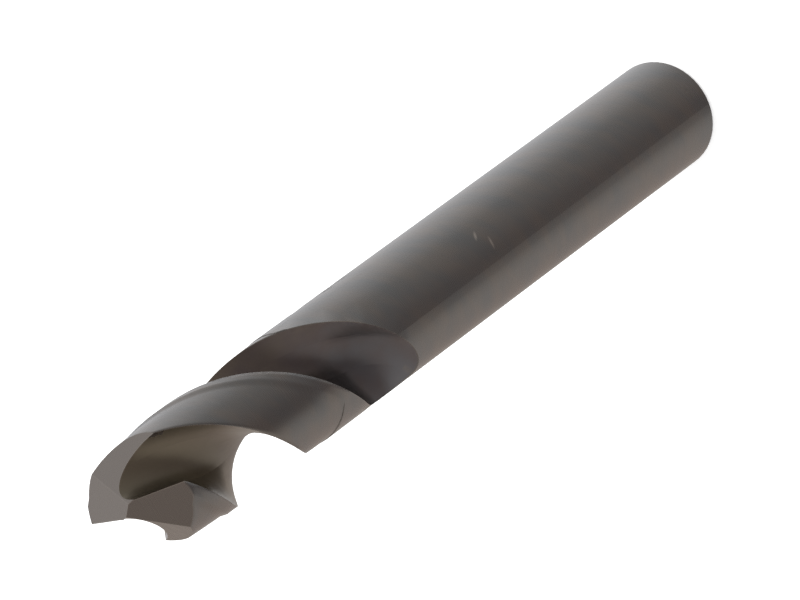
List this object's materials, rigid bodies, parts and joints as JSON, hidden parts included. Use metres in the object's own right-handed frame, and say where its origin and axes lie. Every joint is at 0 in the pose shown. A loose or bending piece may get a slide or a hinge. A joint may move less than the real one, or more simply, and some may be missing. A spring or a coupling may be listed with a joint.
{
  "type": "stub drill bit",
  "caption": "Short straight-shank twist drill for metal: two right-hand spiral flutes, a split 135-degree point and a plain round shank.",
  "frame": {"origin": "centre of the flat shank end", "axes": "+Z along the drill's axis towards the point; the cutting lips lie parallel to X"},
  "size_m": [0.008, 0.008, 0.079],
  "materials": {
    "drill_bit": "ground hardened high-speed steel, lightly darkened"
  },
  "bodies": {
    "root": {"drill_bit": "drill_bit"}
  },
  "joints": []
}
